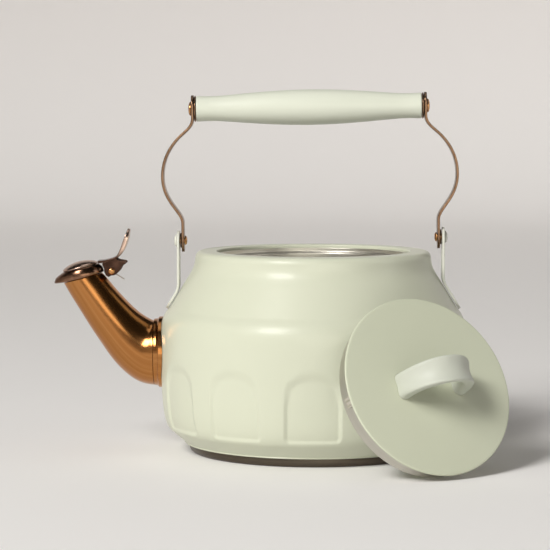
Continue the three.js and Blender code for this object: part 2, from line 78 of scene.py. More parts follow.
def skin(name, grids, place=WORLD, ring=False):
    """One mesh from one or more grids (rows, columns, 3). Columns always close on themselves. Rows close
    too on a ring; otherwise each end is closed by a fan when its row has shrunk to a point, or else by one
    flat face. A shell whose signed volume, the sum of a . (b x c) / 6, is negative is turned round."""
    axes, origin = place
    points, faces, uvs, start = [], [], [], 0
    for grid in grids if isinstance(grids, list) else [grids]:
        grid = np.asarray(grid, float)
        poles = [None if ring or np.ptp(row, axis=0).max() > 1e-6 else row[0]
                 for row in (grid[0], grid[-1])]
        grid = grid[poles[0] is not None: len(grid) - (poles[1] is not None)]
        rows, cols = grid.shape[:2]
        i, j = np.meshgrid(np.arange(rows if ring else rows - 1), np.arange(cols), indexing="ij")
        up, right = (i + 1) % rows, (j + 1) % cols
        row, above = i * cols, up * cols
        quads = np.stack([row + j, row + right, above + right, above + j], -1).reshape(-1, 4)
        corners = [np.stack([j / cols + a / cols, i / rows + b / rows], -1)
                   for a, b in ((0, 0), (1, 0), (1, 1), (0, 1))]
        flat, flat_uv = quads.tolist(), np.stack(corners, 2).reshape(-1, 4, 2).tolist()
        cloud = [grid.reshape(-1, 3)]
        if not ring:
            count = rows * cols
            for pole, first, turn in ((poles[0], 0, True), (poles[1], (rows - 1) * cols, False)):
                edge = first + np.arange(cols)
                height = 0.0 if turn else 1.0
                if pole is None:
                    flat.append((edge[::-1] if turn else edge).tolist())
                    flat_uv.append([[k / cols, height] for k in range(cols)])
                    continue
                cloud.append(pole[None])
                pair = [np.roll(edge, -1), edge] if turn else [edge, np.roll(edge, -1)]
                flat += np.stack([*pair, np.full(cols, count)], 1).tolist()
                flat_uv += [[[k / cols, height]] * 3 for k in range(cols)]
                count += 1
        cloud = np.vstack(cloud)
        a, b, c, d = (cloud[quads[:, k]] for k in range(4))
        if np.einsum("ij,ij->", a, np.cross(b, c)) + np.einsum("ij,ij->", a, np.cross(c, d)) < 0:
            flat = [face[::-1] for face in flat]
            flat_uv = [face[::-1] for face in flat_uv]
        points.append(cloud)
        faces += [[k + start for k in face] for face in flat]
        uvs += flat_uv
        start += len(cloud)
    mesh = bpy.data.meshes.new(name)
    mesh.from_pydata(((np.vstack(points) @ axes + origin) * MM).tolist(), [], faces)
    layer = mesh.uv_layers.new(name="UVMap")
    layer.data.foreach_set("uv", np.concatenate([np.ravel(face) for face in uvs]))
    mesh.shade_smooth()
    mesh.set_sharp_from_angle(angle=CREASE)
    mesh.validate()
    made = bpy.data.objects.new(name, mesh)
    bpy.context.scene.collection.objects.link(made)
    return made


def fit(made, body, slot, material, *nodes):
    """Gives a piece its finish, the body that it moves with and the CAD nodes that it stands for."""
    made.data.materials.append(material)
    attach(made, body)
    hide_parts(*nodes)
    print(f"{made.name}: {len(made.data.polygons)} faces on {body}")
    return made


# %% Lines and profiles
def leaning(angle, *origin):
    """Axes and origin of a frame that leans towards -X: (cos, 0, sin), (0, 1, 0), (-sin, 0, cos)."""
    c, s = math.cos(angle), math.sin(angle)
    return np.array([[c, 0, s], [0, 1, 0], [-s, 0, c]]), np.array(origin, float)


def bezier(a, b, c, d, count=24):
    """Cubic curve: a(1-t)^3 + 3b t(1-t)^2 + 3c t^2(1-t) + d t^3."""
    t = np.linspace(0, 1, count)[:, None]
    a, b, c, d = (np.array(p, float) for p in (a, b, c, d))
    return a * (1 - t) ** 3 + 3 * b * t * (1 - t) ** 2 + 3 * c * t**2 * (1 - t) + d * t**3


def trail(start, *legs, count=24):
    """A line through legs: one point is a straight leg, three points are a cubic leg."""
    runs = [np.array([start], float)]
    for leg in legs:
        here = runs[-1][-1]
        leg = np.array(leg, float)
        if leg.ndim == 1:
            leg = np.array([here + (leg - here) / 3, here + (leg - here) * 2 / 3, leg])
        runs.append(bezier(here, *leg, count=count)[1:])
    return np.vstack(runs)


def rounded(corners, radius, closed=False, steps=7):
    """Each corner is cut back by its radius on both sides and crossed by a quadratic curve. An
    open line keeps its two ends."""
    p = np.array(corners, float)
    back = np.broadcast_to(radius, len(p))[:, None]
    ends = []
    for way in (1, -1):
        gap = np.roll(p, way, 0) - p
        length = np.linalg.norm(gap, axis=1, keepdims=True)
        ends.append(p + gap / length * np.minimum(back, length * 0.48))
    t = np.linspace(0, 1, steps)[None, :, None]
    curve = (1 - t) ** 2 * ends[0][:, None] + 2 * t * (1 - t) * p[:, None] + t**2 * ends[1][:, None]
    if closed:
        return curve.reshape(-1, 2)
    return np.vstack([p[:1], curve[1:-1].reshape(-1, 2), p[-1:]])


def spaced(line, step, closed=False):
    """The same line with extra points wherever two neighbours stand further apart than the step."""
    line = np.vstack([line, line[:1]]) if closed else np.asarray(line)
    gaps = np.linalg.norm(np.diff(line, axis=0), axis=1)
    pieces = np.maximum(np.ceil(gaps / step), 1).astype(int)
    at = np.repeat(np.arange(len(gaps)), pieces) + np.concatenate([np.arange(n) / n for n in pieces])
    if not closed:
        at = np.append(at, len(line) - 1)
    whole = np.arange(len(line))
    return np.stack([np.interp(at, whole, line[:, k]) for k in range(line.shape[1])], 1)


def through(stations, count):
    """Smooth rows through stations whose first number is the share of the way: cubic Hermite pieces whose
    slopes are the mean slopes of the neighbours."""
    s = np.array(stations, float)
    slope = np.gradient(s, s[:, 0], axis=0)
    at = np.linspace(s[0, 0], s[-1, 0], count)
    k = np.clip(np.searchsorted(s[:, 0], at, side="right") - 1, 0, len(s) - 2)
    span = (s[k + 1, 0] - s[k, 0])[:, None]
    f = ((at - s[k, 0]) / span[:, 0])[:, None]
    low = (1 + 2 * f) * (1 - f) ** 2 * s[k] + f * (1 - f) ** 2 * span * slope[k]
    return low + f**2 * (3 - 2 * f) * s[k + 1] + f**2 * (f - 1) * span * slope[k + 1]


def mirrored(half):
    """A profile of (radius, height) and its reflection in height 0, where the half starts."""
    half = np.asarray(half, float)
    return np.vstack([half[::-1] * [1, -1], half[1:]])


def beside(line, distance):
    """A flat line moved sideways, to its right-hand side where the distance is positive."""
    along = np.gradient(line, axis=0)
    along /= np.linalg.norm(along, axis=1, keepdims=True)
    return line + np.stack([along[:, 1], -along[:, 0]], 1) * distance


# %% Turned, bent, pressed and drawn shapes
TURN_Z, TURN_X, TURN_Y = [0, 1, 2], [2, 0, 1], [1, 2, 0]
STRIP_STEP = 0.8


def turned(profile, turns=96, about=TURN_Z):
    """A profile of (radius, height) carried round an axis: (r cos, r sin, h), with the axes swapped round
    for a piece that lies along X or Y."""
    angle = np.arange(turns) / turns * 2 * np.pi
    r, h = np.asarray(profile, float).T[:, :, None]
    return np.stack([r * np.cos(angle), r * np.sin(angle), h + 0 * angle], -1)[..., about]


def box_section(half_width, half_thick, edge, steps=5):
    """Rounded rectangle for each row: a quarter turn of radius `edge` about each of the four corners."""
    quarter = np.linspace(0, np.pi / 2, steps)
    angle = np.concatenate([quarter + k * np.pi / 2 for k in range(4)])
    side = np.repeat([[1, 1], [-1, 1], [-1, -1], [1, -1]], steps, axis=0).T
    w, t, e = (np.broadcast_to(v, np.shape(half_width))[..., None] for v in (half_width, half_thick, edge))
    e = np.minimum(e, np.minimum(w, t))
    return side[0] * (w - e) + e * np.cos(angle), side[1] * (t - e) + e * np.sin(angle)


def strip(line, width, thick, edge, round_start=True, swell=0.0):
    """Strip metal along a line in the X-Z plane. At distance d from a round end the half width is
    sqrt(R^2 - (R - d)^2), which draws a half circle on the face of the strip. The far end is always
    round. A swell thickens the last three fifths of the strip by a half sine."""
    gone = np.concatenate([[0], np.cumsum(np.linalg.norm(np.diff(line, axis=0), axis=1))])
    half, total = width / 2, gone[-1]
    bend = half * (1 - np.cos(np.linspace(0.06, np.pi / 2, 14)))
    at = np.arange(half, total - half, STRIP_STEP)
    at = np.concatenate([bend, at[1:], total - bend[::-1]])
    line = np.stack([np.interp(at, gone, line[:, k]) for k in (0, 1)], 1)
    shrink = np.full(len(at), half)
    for d in (at, total - at) if round_start else (total - at,):
        shrink = np.minimum(shrink, np.sqrt(half**2 - np.maximum(half - d, 0) ** 2))
    along = np.gradient(line, axis=0)
    along /= np.linalg.norm(along, axis=1, keepdims=True)
    fat = thick + swell * np.sin(np.pi * np.clip(at / total * 1.7 - 0.7, 0, 1))
    across, out = box_section(shrink, fat / 2, edge)
    x = line[:, :1] + along[:, 1:] * out
    z = line[:, 1:] - along[:, :1] * out
    return np.stack([x, across, z], -1)


def pressed(outline, low, high, edge=0.25, steps=4):
    """A flat outline in the X-Z plane given thickness along Y, its edges rounded by quarter turns."""
    turn = np.linspace(0, np.pi / 2, steps)
    inset = np.concatenate([edge * (1 - np.sin(turn)), edge * (1 - np.cos(turn))])
    y = np.concatenate([low + edge * (1 - np.cos(turn)), high - edge * (1 - np.sin(turn))])
    closed = np.vstack([outline[-1:], outline, outline[:1]])
    along = np.gradient(closed, axis=0)[1:-1]
    along /= np.linalg.norm(along, axis=1, keepdims=True)
    area = np.sum(outline[:, 0] * np.roll(outline[:, 1], -1) - np.roll(outline[:, 0], -1) * outline[:, 1])
    inward = np.sign(area) * np.stack([-along[:, 1], along[:, 0]], 1)
    ring = outline[None] + inward[None] * inset[:, None, None]
    return np.stack([ring[..., 0], np.repeat(y[:, None], len(outline), 1), ring[..., 1]], -1)


def wire(line, radius, turns=14):
    """Round wire along a line in space. Each ring stands square to the line, its first spoke in the plane
    of the line and Y."""
    line = np.asarray(line, float)
    along = np.gradient(line, axis=0)
    along /= np.linalg.norm(along, axis=1, keepdims=True)
    side = np.cross(along, [0, 1, 0])
    side /= np.linalg.norm(side, axis=1, keepdims=True)
    over = np.cross(side, along)
    angle = np.arange(turns) / turns * 2 * np.pi
    spoke = side[:, None] * np.cos(angle)[None, :, None] + over[:, None] * np.sin(angle)[None, :, None]
    size = np.full(len(line), radius)
    size[[0, -1]] = radius * 0.55
    return line[:, None] + spoke * size[:, None, None]


print("mesh tools ready")

# %% [markdown]
# ## Shader tools
# A finish is a small set of numbers that vary over the surface: colour, roughness and a fine relief. A
# socket wrapper lets those numbers be written as plain arithmetic, and every other node comes from one
# method. Numbers that are the same everywhere go straight onto the shader.

# %% Shader tools
class Value:
    """A socket that can be used in arithmetic: each operator adds one Math node."""

    def __init__(self, tree, socket):
        self.tree, self.socket = tree, socket

    def math(self, operation, first, second):
        node = self.tree.nodes.new("ShaderNodeMath")
        node.operation = operation
        for slot, value in zip(node.inputs, (first, second)):
            if isinstance(value, Value):
                self.tree.links.new(value.socket, slot)
            else:
                slot.default_value = value
        return Value(self.tree, node.outputs[0])

    def __add__(self, other):
        return self.math("ADD", self, other)

    def __sub__(self, other):
        return self.math("SUBTRACT", self, other)

    def __mul__(self, other):
        return self.math("MULTIPLY", self, other)

    def __pow__(self, other):
        return self.math("POWER", self, other)

    def cos(self):
        return self.math("COSINE", self, 0.0)

    def sin(self):
        return self.math("SINE", self, 0.0)

    __radd__ = __add__


class Finish:
    """A material with one Principled shader, whose even settings are given by socket name."""

    def __init__(self, name, **settings):
        self.material = bpy.data.materials.new(name)
        self.material.use_nodes = True
        self.tree = self.material.node_tree
        self.shader = self.tree.nodes["Principled BSDF"]
        for key, value in settings.items():
            self.shader.inputs[key.replace("_", " ")].default_value = value

    def node(self, kind, settings=None, out=0, **values):
        """Adds a node: its settings first, then numbers or links for its sockets, by name or number."""
        node = self.tree.nodes.new("ShaderNode" + kind)
        for key, value in (settings or {}).items():
            setattr(node, key, value)
        for key, value in values.items():
            key = int(key[1:]) if key[1:].isdigit() else key.replace("_", " ")
            if isinstance(value, Value):
                self.tree.links.new(value.socket, node.inputs[key])
            else:
                node.inputs[key].default_value = value
        return Value(self.tree, node.outputs[out])

    def here(self, turn=(0, 0, 0), centre=(0, 0, 0), scale=(1, 1, 1)):
        """Object coordinates read in a turned, shifted and stretched frame."""
        spot = self.node("TexCoord", out=3)
        unturned = self.node("Mapping", {"vector_type": "TEXTURE"}, Vector=spot, Rotation=turn,
                             Location=centre)
        return self.node("Mapping", Vector=unturned, Scale=scale)

    def round_axis(self, **where):
        """Distance from the local Z axis and height along it: sqrt(x^2 + y^2) and z."""
        spot = self.here(**where)
        x, y, z = (self.node("SeparateXYZ", out=k, Vector=spot) for k in range(3))
        return (x * x + y * y) ** 0.5, z

    def noise(self, vector, scale, detail=3.0, roughness=0.55):
        return self.node("TexNoise", Vector=vector, Scale=scale, Detail=detail, Roughness=roughness)

    def blend(self, share, dark, light):
        """A colour between two colours, by a value from 0 to 1."""
        return self.node("Mix", {"data_type": "RGBA"}, out=2, _0=share, _6=(*dark, 1), _7=(*light, 1))

    def put(self, **values):
        for key, value in values.items():
            self.tree.links.new(value.socket, self.shader.inputs[key.replace("_", " ")])
        return self

    def relief(self, height, depth, strength):
        """A fine relief of the given depth in metres."""
        return self.put(Normal=self.node("Bump", Strength=strength, Distance=depth, Height=height))


# %% [markdown]
# ## Finishes
# The pot and lid carry a fired coating: pale sage, half gloss, with a very slight ripple like an orange's
# skin and a soft drift in tone; the lid's copy is painted darker as painted shade and the ears' copy paler
# as a painted highlight. The base and mouth are bare steel that was turned on a lathe, so its scratches run
# round; the base's steel is painted near black as painted shade and the mouth's pale as painted light. The
# plated spout was polished along its length, so its streaks run from root to lip. The lip is painted dark
# as painted reflection and the flap cap pale as a painted highlight. The lever's dark plating, darkened
# further as painted shade, is painted lighter towards its tip as a painted highlight. The grip is painted
# wood, where long grain still shows through as relief. The lid's scratches lean with it, so its frame is
# worked out first.

# %% Where the lid leans
LID_TURN, LID_LEAN, LID_THICK, LID_RADIUS = math.radians(30.9), math.radians(63.2), 1.6, 54.8


def lid_frame():
    """The lid's axes, leant about X and then turned about Z, and the middle of its underside."""
    ct, st, cl, sl = math.cos(LID_TURN), math.sin(LID_TURN), math.cos(LID_LEAN), math.sin(LID_LEAN)
    rows = np.array([[ct, st, 0], [-st * cl, ct * cl, sl], [st * sl, -ct * sl, cl]])
    return rows, np.array([67.1, -102.9, 52.4]) - LID_THICK * rows[2]


LID = lid_frame()
print("lid's middle, in mm:", np.round(LID[1], 1).tolist())


# %% Coated steel
def enamel(name, dark, light, gloss):
    """Fired coating: a drift and a speckle in its tone, and a ripple at two sizes under a thin clear coat."""
    made = Finish(name, Coat_Weight=0.2, Coat_Roughness=0.18, Specular_IOR_Level=0.35)
    spot = made.here()
    drift = made.noise(spot, 9.0, 2.0)
    speck = made.noise(spot, 900.0, 2.0)
    made.put(Base_Color=made.blend(drift * 0.7 + speck * 0.3, dark, light))
    made.put(Roughness=gloss + drift * 0.06 + speck * 0.05)
    return made.relief(made.noise(spot, 520.0, 2.0) + made.noise(spot, 60.0, 1.0) * 4, 0.00006, 0.35).material


sage = enamel("sage_enamel", (0.565, 0.585, 0.46), (0.595, 0.615, 0.49), 0.33)
# Painted shade: the lid's copy of the sage coating is painted darker than the pot's.
sage_lid_painted_shade = enamel("sage_enamel_lid_painted_shade", (0.54, 0.565, 0.43), (0.57, 0.595, 0.46), 0.42)
# Painted highlight: the ears' copy is painted paler than the pot's, so they read lit; the rivets' coated
# heads share it.
sage_ears_painted_highlight = enamel("sage_enamel_ears_painted_highlight", (0.62, 0.63, 0.55), (0.68, 0.69, 0.61), 0.2)
print("coated:", sage.name, sage_lid_painted_shade.name, sage_ears_painted_highlight.name)


# %% Bare and drawn metals
def turned_metal(name, dark, light, rough, fine=5200.0, **where):
    """Lathe marks: noise read in (radius, height), so each mark is a ring."""
    made = Finish(name, Metallic=1.0)
    radius, height = made.round_axis(**where)
    rings = made.node("CombineXYZ", X=radius, Y=height, Z=0.0)
    mark = made.noise(rings, fine, 3.0)
    broad = made.noise(rings, fine / 14, 2.0)
    cloud = made.noise(made.here(), 40.0, 3.0)
    made.put(Base_Color=made.blend(mark * 0.35 + broad * 0.35 + cloud * 0.3, dark, light))
    made.put(Roughness=rough + mark * 0.16 + cloud * 0.06)
    return made.relief(mark, 0.00003, 0.5).material


def drawn_metal(name, dark, light, rough, stretch=(260, 260, 18)):
    """Polishing marks along the piece: noise stretched along one direction of the shared frame."""
    made = Finish(name, Metallic=1.0)
    mark = made.noise(made.here(scale=stretch), 6.0, 4.0)
    cloud = made.noise(made.here(), 55.0, 3.0)
    share = made.node("Clamp", Value=(mark - 0.5) * 2 + cloud)
    made.put(Base_Color=made.blend(share, dark, light), Roughness=rough + mark * 0.14 + cloud * 0.08)
    return made.relief(mark, 0.00002, 0.5).material


def plated_along(name, dark, light, rough):
    """Streaks that follow a drawn piece: noise read in its own map, fine round it and long along it. The
    map's first direction is an angle, so it is read as (cos, sin) to meet itself at the seam."""
    made = Finish(name, Metallic=1.0)
    around, along = (made.node("SeparateXYZ", out=k, Vector=made.node("UVMap", {"uv_map": "UVMap"}))
                     for k in range(2))
    angle = around * (2 * math.pi)
    east, north = angle.cos(), angle.sin()
    fine = made.noise(made.node("CombineXYZ", X=east * 60, Y=north * 60, Z=along * 1.6), 1.0, 4.0)
    wide = made.noise(made.node("CombineXYZ", X=east * 9, Y=north * 9, Z=along * 1.2), 1.0, 2.0)
    share = made.node("Clamp", Value=(fine - 0.5) * 0.8 + wide)
    made.put(Base_Color=made.blend(share, dark, light), Roughness=rough + fine * 0.16)
    return made.relief(fine, 0.00003, 0.6).material


# Painted highlight: above this height the lever's plating is painted lighter, so its upper bend reads lit.
HIGHLIGHT_FROM, HIGHLIGHT_RISE = 0.1205, 220


def painted_highlight_metal(name, dark, highlight_colour, rough):
    """Dark plating, darkened further as painted shade, with a painted highlight that lightens it higher up:
    the lit share is (z - from) * rise.
    """
    made = Finish(name, Metallic=1.0)
    mark = made.noise(made.here(scale=(60, 60, 40)), 6.0, 4.0)
    height = made.node("SeparateXYZ", out=2, Vector=made.here())
    share = made.node("Clamp", Value=(height - HIGHLIGHT_FROM) * HIGHLIGHT_RISE + (mark - 0.5) * 0.5)
    made.put(Base_Color=made.blend(share, dark, highlight_colour), Roughness=rough + mark * 0.14)
    return made.relief(mark, 0.00002, 0.5).material


# Painted shade: the base's bare steel is painted near black, far darker than bare steel, for the shade round
# its foot; the reed disc shares it.
steel = turned_metal("turned_steel_painted_shade", (0.07, 0.058, 0.044), (0.16, 0.132, 0.105), 0.24)
# Painted light: the seat's and the inner floor's bare steel is painted paler than bare steel, so the mouth
# reads lit.
mouth_steel_painted_light = turned_metal("mouth_steel_painted_light", (0.66, 0.63, 0.56), (0.88, 0.85, 0.77), 0.27, fine=3600.0)
lid_steel = turned_metal("lid_steel", (0.50, 0.48, 0.43), (0.68, 0.66, 0.60), 0.3,
                         turn=(LID_LEAN, 0, LID_TURN), centre=tuple(LID[1] * MM))
spring_steel = drawn_metal("spring_steel", (0.55, 0.51, 0.45), (0.80, 0.76, 0.69), 0.24)
aluminium = drawn_metal("rolled_aluminium", (0.62, 0.62, 0.63), (0.76, 0.76, 0.77), 0.36, (18, 260, 260))
copper = plated_along("copper_plate", (0.37, 0.135, 0.035), (0.58, 0.275, 0.095), 0.10)
copper_small = drawn_metal("copper_small", (0.40, 0.17, 0.055), (0.74, 0.40, 0.17), 0.14)
bronze = drawn_metal("dark_bronze", (0.17, 0.095, 0.055), (0.34, 0.215, 0.135), 0.17, (240, 240, 30))
# Painted highlight: the flap cap's dark bronze is painted pale pink, so the dome reads lit.
bronze_cap = plated_along("dark_bronze_cap_painted_highlight", (0.52, 0.35, 0.27), (0.78, 0.57, 0.47), 0.16)
# Painted reflection: the copper lip is painted dark brown, for the dark surroundings that it reflects.
lip_painted_reflection = plated_along("spout_lip_painted_reflection", (0.16, 0.08, 0.045), (0.34, 0.19, 0.12), 0.13)
# Painted shade and painted highlight: the lever and bracket are painted near black below the bend and lighter
# above it.
bronze_lever = painted_highlight_metal("dark_bronze_lever_painted_highlight", (0.07, 0.037, 0.026), (0.66, 0.48, 0.39), 0.16)
print("metals ready")


# %% Painted wood and moulding
def painted_wood(name, dark, light):
    """Grain and pores stretched along X, under paint with a thin clear coat."""
    made = Finish(name, Coat_Weight=0.12, Coat_Roughness=0.3)
    grain = made.noise(made.here(scale=(9, 420, 420)), 1.0, 5.0, 0.6)
    pore = made.noise(made.here(scale=(90, 1500, 1500)), 1.0, 2.0)
    drift = made.noise(made.here(), 24.0, 2.0)
    made.put(Base_Color=made.blend(grain * 0.5 + drift * 0.5, dark, light))
    made.put(Roughness=0.36 + grain * 0.12)
    return made.relief(grain + pore * 0.4, 0.00008, 0.4).material


def moulding(name, dark, light):
    """Plain moulded plastic with a fine sandy face."""
    made = Finish(name)
    spot = made.here()
    drift = made.noise(spot, 30.0, 2.0)
    sand = made.noise(spot, 1600.0, 2.0)
    made.put(Base_Color=made.blend(drift * 0.6 + sand * 0.4, dark, light), Roughness=0.4 + sand * 0.12)
    return made.relief(sand, 0.00004, 0.5).material


grip_wood = painted_wood("sage_wood", (0.62, 0.645, 0.54), (0.66, 0.685, 0.58))
handle_moulding = moulding("sage_moulding", (0.51, 0.53, 0.455), (0.54, 0.56, 0.485))
print("painted:", grip_wood.name, handle_moulding.name)

# %% [markdown]
# ## The pot
# The pot is spun from sheet into a rounded body with a sloping shoulder and a short neck. Twelve arch
# panels are then pressed into its side. The wall is therefore a turned profile whose radius is reduced
# wherever the angle and height fall inside an arch. The distance to the arch outline decides how deep:
# flat inside, with a soft slope at its edge, 3 mm wide at the sides and 7 mm over the arch. The foot is a
# small bead and a straight bevel.

# %% Arch panels
PANELS, PANEL_HALF, PANEL_BOTTOM, PANEL_SPRING, PANEL_CREST = 12, 17.4, 15.8, 46.5, 59.4
PANEL_CORNER, PANEL_DEPTH, PANEL_MARGIN, SIDE_SLOPE, TOP_SLOPE = 4.0, 1.15, 0.3, 3.0, 7.0
WIDEN_FROM, WIDEN_OVER = 38, 16
EDGE_NEAR, EDGE_FAR = 8.8, 11.4
SHOULDER_FOOT, SHOULDER_TOP = (89.3, 88.8), (78, 107.4)
WALL = 1.0


def press(u, z):
    """Depth of the pressing at u millimetres from a panel's middle line and height z. Below the spring the
    distance is that of a round-cornered box; above it, that of a half ellipse k0 (k0 - 1) / k1."""
    ax, az = np.abs(u) - (PANEL_HALF - PANEL_CORNER), (PANEL_BOTTOM + PANEL_CORNER) - z
    low = np.hypot(np.maximum(ax, 0), np.maximum(az, 0)) + np.minimum(np.maximum(ax, az), 0)
    low = low - PANEL_CORNER
    rise, a, b = z - PANEL_SPRING, PANEL_HALF, PANEL_CREST - PANEL_SPRING
    k0, k1 = np.hypot(u / a, rise / b), np.hypot(u / a**2, rise / b**2) + 1e-9
    far = np.where(z > PANEL_SPRING, k0 * (k0 - 1) / k1, low)
    slope = SIDE_SLOPE + (TOP_SLOPE - SIDE_SLOPE) * np.clip((z - WIDEN_FROM) / WIDEN_OVER, 0, 1)
    t = np.clip((PANEL_MARGIN - far) / slope, 0, 1)
    return PANEL_DEPTH * t * t * (3 - 2 * t)


def pot_line():
    """Outside of the pot in half section: bead, bevel, side, shoulder, neck and the start of the roll."""
    bead = [(78.4, 5.4), (79.6, 5.43), (80.15, 5.8), (79.95, 6.3)]
    low = trail((80.5, 6.9), (88.4, 13.5), [(91.6, 16.1), (93.6, 22), (94.3, 32)],
                [(95.2, 41), (95.3, 60), (95, 72)], count=34)
    high = trail(low[-1], [(94.8, 80), (93.6, 84), SHOULDER_FOOT], SHOULDER_TOP,
                 [(75.6, 111.2), (73.6, 113.8), (73.2, 119.5)], [(73, 122.6), (71.6, 124.2), (68.8, 124.2)],
                 count=14)
    return np.vstack([bead, low, high[1:]])


POT_LINE = pot_line()


def wall_radius(angle, z):
    """Radius of the pot's outside at an angle and height, with the panels pressed in."""
    pitch = 2 * np.pi / PANELS
    off = (angle + np.pi / 2 + pitch / 2) % pitch - pitch / 2
    plain = np.interp(z, POT_LINE[:, 1], POT_LINE[:, 0])
    return plain - press(plain * np.sin(off), z)


def pot_columns():
    """Angles round the pot, closer together where a panel's side edge passes."""
    pitch = 360 / PANELS
    edge = np.linspace(EDGE_NEAR, EDGE_FAR, 15)
    middle = np.linspace(-EDGE_NEAR, EDGE_NEAR, 26)[1:-1]
    between = np.linspace(EDGE_FAR, pitch - EDGE_FAR, 8)[1:-1]
    one = np.concatenate([-edge[::-1], middle, edge, between])
    return np.radians(np.concatenate([one + k * pitch for k in range(PANELS)]) - 90)


ROLL = trail((60.8, 124.2), [(60.1, 124.2), (59.6, 123.9), (59.6, 123.3)], (59.6, 122.0),
             [(59.6, 121.7), (59.8, 121.5), (60.2, 121.5)], count=5)
columns = pot_columns()
outside = wall_radius(columns[None], POT_LINE[:, 1:])
rim = np.vstack([[[66, 124.2]], [[63, 124.2]], ROLL])
inner_line = beside(POT_LINE, -WALL)[::-3]
press_in = POT_LINE[::-3, :1] - wall_radius(columns[None], POT_LINE[::-3, 1:])
inside = inner_line[:, :1] - press_in
radii = np.vstack([outside, np.repeat(rim[:, :1], len(columns), 1), inside])
heights = np.concatenate([POT_LINE[:, 1], rim[:, 1], inner_line[:, 1]])[:, None] + 0 * columns
pot_grid = np.stack([radii * np.cos(columns), radii * np.sin(columns), heights], -1)
fit(skin("pot_body", pot_grid, ring=True), "pot", "sage_enamel", sage, "body_shell")

# %% [markdown]
# ## Base and mouth
# The base is a shallow cap of bare steel that tapers in at the foot and stands just inside the coated
# bead. The mouth holds a bare steel seat: a recess that the lid's plate drops into, a flat ledge,
# and a short neck below it. Small roundings at each corner catch the light as thin rings.

# %% Base and mouth
cap_profile = rounded([(0, 0), (75.8, 0), (77.1, 2.2), (77.1, 5.2), (76.2, 5.2), (76.2, 2.6), (75.2, 0.8),
                       (0, 0.8)], [0, 1.2, 1.2, 0.3, 0.3, 0.8, 0.8, 0])
fit(skin("base_band", turned(spaced(cap_profile, 2.0), 240)), "pot", "bare_steel", steel, "base_cap")
floor_profile = rounded([(0, 5.5), (77.5, 5.5), (77.5, 6.5), (0, 6.5)], 0.3)
fit(skin("pot_floor_plate", turned(spaced(floor_profile, 3.0), 200)), "pot", "bare_steel", mouth_steel_painted_light,
    "pot_floor")
seat_profile = rounded([(53.7, 112), (53.7, 118.4), (59.3, 118.4), (59.3, 122.1), (58.5, 122.1),
                        (58.5, 119.4), (52.7, 119.4), (52.7, 112)],
                       [0.3, 0.8, 0.9, 0.35, 0.35, 0.9, 0.8, 0.3], closed=True)
fit(skin("mouth_seat", turned(spaced(seat_profile, 1.2, closed=True), 240), ring=True),
    "pot", "bare_steel", mouth_steel_painted_light, "lid_seat")
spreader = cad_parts["heat_spreader"].data
spreader.materials.clear()
spreader.materials.append(aluminium)

# %% [markdown]
# ## Spout
# The spout is a tapering tube. Its sections start upright at the collar and lean over as it climbs, so
# each station gives the slope of the section and its half height and half width. The smooth curve through
# the stations is the outside, and the same rings 1.2 mm smaller are the bore.

# %% Spout tube
CUT_LEAN, ROOT_Z, BORE = 14.7, 60.8, 1.2
SPOUT_LINE = [(-98.9, ROOT_Z), (-110, 60.6), (-128, 84), (-143.2, 107)]
STATIONS = [(0, 90, 20.6, 20), (0.12, 74, 20, 19.4), (0.25, 58, 18.4, 18), (0.38, 48, 16.9, 16.6),
            (0.52, 42, 15.2, 15.2), (0.68, 38, 13.9, 13.9), (0.84, 32, 12.8, 12.7), (0.93, 24, 12.5, 12.1),
            (1, CUT_LEAN, 12.4, 11.6)]


def spout_rings(inset, rows=70, turns=112):
    """Centre on a cubic curve, then (a cos t cos s, b sin t, a cos t sin s) for slope s. A station is the
    share of the way, the slope in degrees, half the height a and half the width b."""
    run = through(STATIONS, rows)
    slope, high, wide = np.radians(run[:, 1:2]), run[:, 2:3] - inset, run[:, 3:4] - inset
    centre = bezier(*SPOUT_LINE, count=rows)
    angle = np.arange(turns) / turns * 2 * np.pi
    along = high * np.cos(angle)
    return np.stack([centre[:, :1] + along * np.cos(slope), wide * np.sin(angle),
                     centre[:, 1:] + along * np.sin(slope)], -1)


tube = np.concatenate([spout_rings(0), spout_rings(BORE)[::-1]])
fit(skin("spout_body", tube, ring=True), "pot", "copper_plate", copper, "spout_tube")

# %% Collar at the root
COLLAR_BEND, COLLAR_BACK, WALL_GAP, POT_RADIUS = -97.0, -90.0, 0.3, 95


def collar(turns=160):
    """A ring about the spout's root whose back follows the pot's wall: x = -sqrt(R^2 - y^2) - gap."""
    flare = bezier((20.7, -98.5), (20.9, -96.6), (21.2, -95.0), (22.1, -94.2), 12)
    face = np.vstack([[(17.9, -98.6), (20.4, -98.6)], flare, [(22.1, -90.0), (17.8, -90.0), (17.8, -98.4)]])
    face = spaced(face, 0.6, closed=True)
    angle = np.arange(turns) / turns * 2 * np.pi
    y, z = face[:, :1] * np.cos(angle), ROOT_Z + face[:, :1] * np.sin(angle)
    round_pot = np.arctan2(y, -np.sqrt(POT_RADIUS**2 - y**2))
    reach = wall_radius(round_pot, z)
    wall = -np.sqrt(reach**2 - y**2) - WALL_GAP
    share = np.clip((face[:, 1:] - COLLAR_BEND) / (COLLAR_BACK - COLLAR_BEND), 0, 1)
    back = COLLAR_BEND + share * (np.minimum(wall, COLLAR_BACK) - COLLAR_BEND)
    x = np.where(face[:, 1:] < COLLAR_BEND, face[:, 1:], back)
    return np.stack([np.minimum(x, wall), y, z], -1)


fit(skin("spout_root_collar", collar(), ring=True), "pot", "copper_plate", copper, "spout_collar")

# %% [markdown]
# ## Pouring lip and whistle flap
# A short flared collar stands on the cut end of the spout and is drawn out into a beak. The whistle flap
# is a low dome that covers it, with a thumb lever bent up behind. The lip and the dome are worked out in
# the frame of the cut. The lever is bent strip that swells towards its tip, with a cheek on each side.

